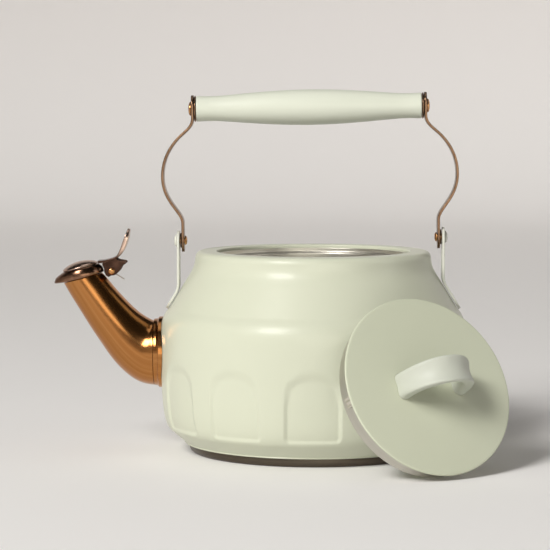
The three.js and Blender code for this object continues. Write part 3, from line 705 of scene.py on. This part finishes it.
# %% Lip and cap
MOUTH = leaning(math.radians(CUT_LEAN), SPOUT_LINE[-1][0], 0, SPOUT_LINE[-1][1])


def lip(turns=128):
    """Rings (reach cos t, across sin t, height); the reach grows by beak x max(-cos t, 0)^3."""
    rows = [(0.3, 12.2, 11.4, 0.0), (0.45, 12.9, 12.1, 1.6), (0.8, 13.5, 12.7, 3.8), (1.3, 13.7, 12.9, 4.5),
            (2.4, 13.65, 12.85, 4.1), (4.0, 13.3, 12.5, 3.3), (5.3, 12.4, 12.0, 1.6), (6.1, 11.7, 11.6, 0.5),
            (6.4, 11.1, 11.1, 0.0), (6.4, 10.4, 10.4, 0.0), (6.1, 10.05, 10.05, 0.0), (3.0, 10.0, 10.0, 0.0),
            (0.6, 10.0, 10.0, 0.0), (0.3, 10.3, 10.3, 0.0)]
    z, reach, across, beak = (np.array(c, float)[:, None] for c in zip(*rows))
    angle = np.arange(turns) / turns * 2 * np.pi
    out = reach + beak * np.maximum(-np.cos(angle), 0) ** 3
    return np.stack([out * np.cos(angle), across * np.sin(angle), z + 0 * angle], -1)


fit(skin("spout_pouring_lip", lip(), MOUTH, ring=True), "pot", "copper_plate", lip_painted_reflection, "spout_lip")
CAP_FOOT = 6.7
under = trail((0, 2.7), [(4, 2.6), (7, 1.6), (10.0, 0.05)], count=12)
over = trail((11.2, 0.5), [(10.9, 1.5), (6.5, 3.9), (0, 3.9)], count=22)
cap_line = np.vstack([under, [(10.6, 0), (11.0, 0.12)], over]) + [0, CAP_FOOT]
fit(skin("whistle_cap", turned(cap_line, 112), MOUTH), "flap", "dark_bronze", bronze_cap, "flap_cap")
reed = rounded([(1.6, 5.4), (8.6, 5.4), (8.6, 6.2), (1.6, 6.2)], 0.25, closed=True)
fit(skin("whistle_reed_disc", turned(reed, 64), MOUTH, ring=True), "flap", "bare_steel", steel,
    "whistle_disc")

# %% Lever, pin, bracket and spring
PIN_X, PIN_Z = -124.9, 111.7
LEVER_HALF, CHEEK_INSIDE = 6.5, 5.4
lever_line = trail((-133.6, 117.2), [(-130, 117.2), (-126, 118.2), (-122.8, 119.5)],
                   [(-118.8, 121.6), (-116.3, 130.0), (-114.3, 137.7)], count=30)
cheek = rounded([(-130.9, 116.4), (-130.4, 114.6), (-127.4, 109.4), (-123.2, 108.6), (-119.6, 112.0),
                 (-118.4, 114.8), (-115.7, 116.5), (-116.2, 117.7), (-120.6, 118.4), (-122.6, 119.6)],
                [0.6, 0.6, 1.6, 2.0, 1.2, 1.0, 0.5, 0.5, 1.0, 0.8], closed=True)
cheek = spaced(cheek, 0.7, closed=True)
lever = [strip(lever_line, 2 * LEVER_HALF, 1.5, 0.45, round_start=False, swell=1.3),
         pressed(cheek, CHEEK_INSIDE, LEVER_HALF), pressed(cheek, -LEVER_HALF, -CHEEK_INSIDE)]
fit(skin("thumb_lever_bent", lever), "flap", "dark_bronze", bronze_lever, "thumb_lever")
half_pin = [(1.2, 0), (1.2, 6.8), (2.0, 6.8), (2.1, 6.9), (2.05, 7.5), (1.6, 8.0), (0.9, 8.3), (0, 8.4)]
PIN = (np.eye(3), np.array([PIN_X, 0, PIN_Z]))
fit(skin("flap_hinge_pin", turned(mirrored(half_pin), 40, TURN_Y), PIN), "flap", "copper_plate",
    copper_small, "hinge_pin")
knuckle = np.radians(np.linspace(-75, 120, 22))
ear_of_bracket = np.vstack([[(-129.8, 110.8), (-128.9, 108.8), (-127.2, 107.6)],
                            np.stack([PIN_X + 2.6 * np.cos(knuckle), PIN_Z + 2.6 * np.sin(knuckle)], 1),
                            [(-129.9, 113.2)]])
bracket = pressed(spaced(ear_of_bracket, 0.7, closed=True), -3.0, 3.0, 0.35)
fit(skin("flap_bracket", bracket), "pot", "dark_bronze", bronze_lever, "hinge_bracket")


def coil(turns=2.0, radius=2.2, pitch=0.475, near=3.8):
    """Torsion spring: (r cos, near + pitch n, r sin) for n turns, with a bent tail at its start."""
    n = np.linspace(0, turns, 90)[:, None]
    angle = -np.pi / 2 - 2 * np.pi * n
    loops = np.hstack([PIN_X + radius * np.cos(angle), near + pitch * n, PIN_Z + radius * np.sin(angle)])
    tail = bezier((PIN_X + 7.2, PIN_Z - 5.8), (PIN_X + 4.6, PIN_Z - 4.4), (PIN_X + 2.4, PIN_Z - 2.3),
                  (PIN_X, PIN_Z - 2.2), 20)[:-1]
    return np.vstack([np.insert(tail, 1, near - 0.05, axis=1), loops])


fit(skin("flap_torsion_spring", wire(coil(), 0.35)), "pot", "spring_steel", spring_steel, "flap_spring")

# %% [markdown]
# ## Bail
# Each side of the bail is one bowed strip. It stands upright at the ear, bows outwards, and comes back in to
# the end of the grip. The grip is a spindle, turned from one piece of wood: thick in the middle, with a
# slight waist before each end. A screw with a domed head goes through each strip into the grip.

# %% Bail frame
BAIL_LEAN, PIVOT_X, PIVOT_Z, STRAP_X, GRIP_Z = math.radians(0.85), -1.5, 131.6, 79.2, 81.4
RIVET_HEAD = 83.2
SIDES = (("left", -1), ("right", 1))
BAIL = leaning(BAIL_LEAN, PIVOT_X, 0, PIVOT_Z)
GRIP = (BAIL[0], BAIL[1] + GRIP_Z * BAIL[0][2])
half_grip = [(0, 11), (13, 10.75), (26, 10.1), (38, 9.25), (49, 8.35), (57, 7.8), (64, 7.75), (68.4, 7.95)]
spindle = through(half_grip, 60)
end = rounded([(68.4, 7.95), (69.6, 7.9), (69.6, 0)], [0, 0.9, 0])[1:]
grip_line = mirrored(np.vstack([spindle, end])[:, ::-1])
fit(skin("turned_grip", turned(spaced(grip_line, 1.4), 128, TURN_X), GRIP), "bail", "sage_wood",
    grip_wood, "grip")

bail_line = trail((STRAP_X, -7.2), (STRAP_X, 11), [(STRAP_X, 18), (91.2, 24), (91.2, 39.5)],
                  [(91.2, 50), (86.5, 58), (80.5, 64)], [(75.5, 68.6), (72, 70.5), (72, 76)], (72, 89.8),
                  count=30)
rivet = [(0, 76.7), (1.3, 76.75), (2.2, 77.0), (2.8, 77.5), (3.0, 78.05), (2.0, 78.05), (2.0, 83.25),
         (3.8, 83.25), (3.75, 83.7), (3.4, 84.1), (2.6, 84.55), (1.4, 84.85), (0, 84.9)]
washer = rounded([(2.3, 80.3), (4.6, 80.3), (4.6, 80.95), (2.3, 80.95)], 0.2, closed=True)
ferrule = rounded([(2.3, 69.9), (8.0, 69.9), (8.1, 70.4), (7.6, 70.9), (2.3, 70.9)],
                  [0.1, 0.2, 0.3, 0.3, 0.1], closed=True)
screw = [(0, 57.6), (1.6, 57.6), (2.0, 58.0), (2.0, 73.1), (4.2, 73.1), (4.3, 73.25), (4.2, 73.7),
         (3.6, 74.15), (2.4, 74.5), (1.1, 74.68), (0, 74.7)]
down = np.array(SHOULDER_FOOT) - SHOULDER_TOP
down /= np.linalg.norm(down)


def ear_line(side):
    """Middle line of an ear: down its upright plate, round the bend and along the shoulder to the toe."""
    rivet_z = PIVOT_Z + side * STRAP_X * math.sin(BAIL_LEAN)
    plate_x = abs(PIVOT_X + side * STRAP_X) + 2.9
    foot = SHOULDER_FOOT + np.array([-down[1], down[0]]) * 1.15
    bend_z = foot[1] - (foot[0] - plate_x) / down[0] * down[1]
    toe = foot + down * 1.5
    line = trail((plate_x, rivet_z + 6), (plate_x, bend_z + 3),
                 [(plate_x, bend_z + 1.2), (plate_x + 0.5, bend_z - 0.8), (plate_x + 1.6, bend_z - 2.6)],
                 tuple(toe), count=16)
    return line * [side, 1]


for word, side in SIDES:
    out, flip = [side, 1], [1, side]
    fit(skin(f"ear_plate_{word}", strip(ear_line(side), 15.0, 1.6, 0.5)), "pot", "sage_enamel", sage_ears_painted_highlight,
        f"ear_{word}")
    fit(skin(f"bail_strip_{word}", strip(bail_line * out, 13.0, 1.6, 0.5), BAIL), "bail", "dark_bronze",
        bronze, f"bail_strap_{word}")
    pin = fit(skin(f"rivet_{word}", turned(np.array(rivet) * flip, 48, TURN_X), BAIL), "pot", "copper_plate",
              copper_small, f"ear_rivet_{word}")
    pin.data.materials.append(sage_ears_painted_highlight)
    coated = [abs(face.center.x - PIVOT_X * MM) > RIVET_HEAD * MM for face in pin.data.polygons]
    pin.data.polygons.foreach_set("material_index", np.array(coated, dtype=np.int32))
    fit(skin(f"washer_{word}", turned(washer * flip, 48, TURN_X), BAIL, ring=True), "pot", "dark_bronze",
        bronze, f"ear_washer_{word}")
    fit(skin(f"end_ferrule_{word}", turned(ferrule * flip, 64, TURN_X), GRIP, ring=True), "bail",
        "dark_bronze", bronze, f"grip_ferrule_{word}")
    fit(skin(f"end_screw_{word}", turned(np.array(screw) * flip, 48, TURN_X), GRIP), "bail", "copper_plate",
        copper_small, f"grip_screw_{word}")

# %% [markdown]
# ## Lid
# The lid stands on its edge against the pot. It is a slightly domed plate with a rounded edge, a steel
# skirt under it that drops into the mouth, and an arch handle held by two screws. The handle is one thick
# moulded band whose outer face is hollowed across its width, like a saddle, so a finger sits in it.

# %% Lid plate and skirt
CROWN, SCREW_X = 2.0, 18.5


def crown(r):
    """Height of the plate's underside, a shallow dome: crown * (1 - (r / R)^2)."""
    return CROWN * (1 - (np.asarray(r) / LID_RADIUS) ** 2)


r_out = np.linspace(0, 53.2, 36)
top = np.stack([r_out, crown(r_out) + LID_THICK], 1)[::-1]
edge = trail((52.6, 0.0), [(53.9, 0.0), (LID_RADIUS, 0.25), (LID_RADIUS, 0.85)],
             [(LID_RADIUS, 1.3), (54.4, 1.62), (53.4, 1.72)], count=9)
low_face = np.stack([r_out[:-1], crown(r_out[:-1])], 1)
fit(skin("lid_disc", turned(np.vstack([low_face, edge, top[1:]]), 240), LID), "lid", "sage_enamel", sage_lid_painted_shade,
    "lid_plate")
skirt = rounded([(50.7, -12), (51.5, -12), (51.5, -0.3), (46, -0.3), (46, -1.1), (50.7, -1.1)],
                [0.35, 0.35, 0.8, 0.3, 0.3, 0.8], closed=True)
fit(skin("lid_inner_skirt", turned(spaced(skirt, 1.2, closed=True), 240), LID, ring=True), "lid",
    "bare_steel", lid_steel, "lid_skirt")


# %% Arch handle
OUTER_HALF, OUTER_TOP, INNER_HALF, INNER_TOP, HOLLOW = 24, 32.4, 14.4, 27.2, 2.0


def filled(section, longest):
    """Extra columns in the long flat sides of a section (rows, columns, 2), so that one can be hollowed."""
    after = np.roll(section, -1, axis=1)
    gaps = np.linalg.norm(after - section, axis=-1).max(0)
    runs = [np.linspace(section[:, k], after[:, k], int(gap // longest) + 2, axis=1)[:, :-1]
            for k, gap in enumerate(gaps)]
    return np.concatenate(runs, axis=1)


def handle(rows=90):
    """Sweep over half a turn t between two half ellipses, so the band thickens from 5.2 mm at the top to
    9.6 mm at its feet. The section is a rounded rectangle, rounder at the feet, whose outer face dips by
    2 (1 - (y / w)^2) at the top and by 0.6 of that at the feet."""
    foot = float(crown(SCREW_X)) + LID_THICK + 0.3
    t = np.linspace(0, np.pi, rows)
    outer = np.stack([OUTER_HALF * np.cos(t), foot + (OUTER_TOP - foot) * np.sin(t)], 1)
    inner = np.stack([INNER_HALF * np.cos(t), foot + (INNER_TOP - foot) * np.sin(t)], 1)
    middle, half_thick = (outer + inner) / 2, np.linalg.norm(outer - inner, axis=1) / 2
    away = (outer - inner) / (2 * half_thick[:, None])
    half_width = 7.0 + 1.0 * np.sin(t) ** 1.5 + 0.9 * (1 - np.sin(t)) ** 3
    round_edge = 1.9 + 2.7 * (1 - np.sin(t)) ** 1.2
    section = np.stack(box_section(half_width, half_thick, round_edge, steps=8), -1)
    across, out = np.moveaxis(filled(section, 0.7), 2, 0)
    hollow = HOLLOW * (1 - (across / half_width[:, None]) ** 2) * (0.6 + 0.4 * np.sin(t)[:, None])
    out = out - hollow * np.clip((out / half_thick[:, None] + 1) / 2, 0, 1)
    x = middle[:, :1] + away[:, :1] * out
    z = middle[:, 1:] + away[:, 1:] * out
    return np.stack([x, across, np.maximum(z, foot)], -1)


fit(skin("lid_arch_handle", handle(), LID), "lid", "sage_moulding", handle_moulding, "lid_handle")

# %% Handle screws and clip
under_screw = float(crown(SCREW_X)) - 0.3
head = np.array([(0, -2.4), (1.4, -2.35), (2.6, -2.0), (3.5, -1.2), (3.8, -0.5), (3.8, 0), (1.8, 0)])
lid_screw = np.vstack([head + [0, under_screw], [(1.8, 11), (0, 11)]])
for word, side in SIDES:
    spot = (LID[0], LID[1] + side * SCREW_X * LID[0][0])
    fit(skin(f"handle_screw_{word}", turned(lid_screw, 40), spot), "lid", "spring_steel", spring_steel,
        f"lid_screw_{word}")


CLIP_AT, CLIP_HALF, CLIP_RADIUS, CLIP_Z = 184.6, 3.7, 52.15, -4.75


def clip(rows=30):
    """A steel leaf on the skirt: a short arc of strip whose radius is rippled by 0.2 cos(5 pi t / 2)."""
    t = np.linspace(-1, 1, rows)
    angle = np.radians(CLIP_AT) + np.radians(CLIP_HALF) * t
    tall, out = box_section(2.75 * np.minimum(1, 2.2 * np.sqrt(1.0001 - t**2)), 0.33, 0.2)
    r = CLIP_RADIUS + 0.2 * np.cos(2.5 * np.pi * t)[:, None] + out
    return np.stack([r * np.cos(angle)[:, None], r * np.sin(angle)[:, None], CLIP_Z + tall], -1)


fit(skin("skirt_clip", clip(), LID), "lid", "spring_steel", spring_steel, "lid_clip")

# %% [markdown]
# ## Stage and light
# A plain pale floor curves up far away all round, so that every view has the same backdrop. A low sun with
# a wide disc casts the soft shadows, and a window at the upper left draws the highlights. Three weak cards
# help: a wide one in front that only glossy faces see, a tall one on the right and one above. Metal shows
# what stands round it, so the room itself is kept dim.

# %% Stage
WALL_RADIUS, WALL_TOP, TURN_UP, STAGE_THICK = 3300, 1100, 700, 40


def stage_grid(turns=96):
    """A disc that turns up into a low wall by a quarter circle. The wall's top is higher at the back."""
    turn = np.linspace(0, np.pi / 2, 14)
    flat = [(0, 0), (300, 0), (900, 0), (2200, 0)]
    curve = [(WALL_RADIUS - TURN_UP + TURN_UP * math.sin(a), TURN_UP - TURN_UP * math.cos(a)) for a in turn]
    back = WALL_RADIUS + STAGE_THICK
    wall = [(WALL_RADIUS, WALL_TOP), (back, WALL_TOP), (back, -STAGE_THICK), (0, -STAGE_THICK)]
    grid = turned(np.array(flat + curve + wall, float)[::-1], turns)
    behind = np.clip(grid[..., 1] / WALL_RADIUS, 0, 1)
    grid[..., 2] *= np.where(grid[..., 2] > TURN_UP + 300, 1 + 1.2 * behind, 1)
    return grid


floor_finish = Finish("studio_floor", Specular_IOR_Level=0.25)
patch = floor_finish.noise(floor_finish.here(), 3.0, 3.0)
climb = floor_finish.node("SeparateXYZ", out=2, Vector=floor_finish.here())
wall_share = floor_finish.node("Clamp", Value=climb * 2.2 + patch * 0.06 - 0.03)
floor_finish.put(Base_Color=floor_finish.blend(wall_share, (0.89, 0.875, 0.86), (0.78, 0.75, 0.73)))
floor_finish.put(Roughness=0.62 + patch * 0.1)
studio = skin("studio_floor", stage_grid())
studio.data.materials.append(floor_finish.material)
print("stage:", len(studio.data.polygons), "faces")


# %% Lights
def light(name, kind, power, colour):
    data = bpy.data.lights.new(name, kind)
    data.energy, data.color = power, colour
    made = bpy.data.objects.new(name, data)
    bpy.context.scene.collection.objects.link(made)
    print(name, kind.lower(), power)
    return made


def lamp(name, spot, aim, width, height, power, colour):
    """A rectangular light at a spot that looks at the aim: tilt acos(-z / |way|), turn atan2(-x, y)."""
    made = light(name, "AREA", power, colour)
    made.data.shape, made.data.size, made.data.size_y = "RECTANGLE", width, height
    made.location = spot
    way = np.array(aim) - np.array(spot)
    made.rotation_euler = (math.acos(-way[2] / np.linalg.norm(way)), 0, math.atan2(-way[0], way[1]))
    return made


def around_pot(azimuth, elevation, distance):
    """A spot seen from the pot at an azimuth (0 is the camera's side, negative to the left) and height."""
    a, e = math.radians(azimuth), math.radians(elevation)
    return (distance * math.sin(a) * math.cos(e), -distance * math.cos(a) * math.cos(e),
            AIM[2] + distance * math.sin(e))


AIM = (0.0, 0.0, 0.08)
DAYLIGHT = (1.0, 0.985, 0.96)
lamp("window", around_pot(-34, 37, 2.9), AIM, 0.95, 1.05, 50, DAYLIGHT)
front = lamp("front_card", around_pot(14, 9, 2.4), AIM, 2.0, 0.95, 11, (1.0, 0.97, 0.86))
front.visible_diffuse = False
sun = light("day", "SUN", 1.62, DAYLIGHT)
sun.data.angle = math.radians(16)
sun.rotation_euler = (math.radians(60), 0, math.radians(-33))
sun.visible_glossy = False
lamp("side_card", around_pot(80, 22, 2.2), AIM, 0.7, 1.2, 3, (1.0, 0.99, 0.97))
lamp("overhead", (-0.1, 0.35, 2.4), (0.0, 0.35, 0.0), 1.6, 1.0, 4, (1.0, 0.995, 0.985))
world = bpy.data.worlds.new("studio_air")
world.use_nodes = True
air = world.node_tree.nodes["Background"].inputs
air["Color"].default_value = (0.80, 0.79, 0.77, 1)
air["Strength"].default_value = 0.03
bpy.context.scene.world = world
bpy.context.scene.view_settings.view_transform = "Standard"
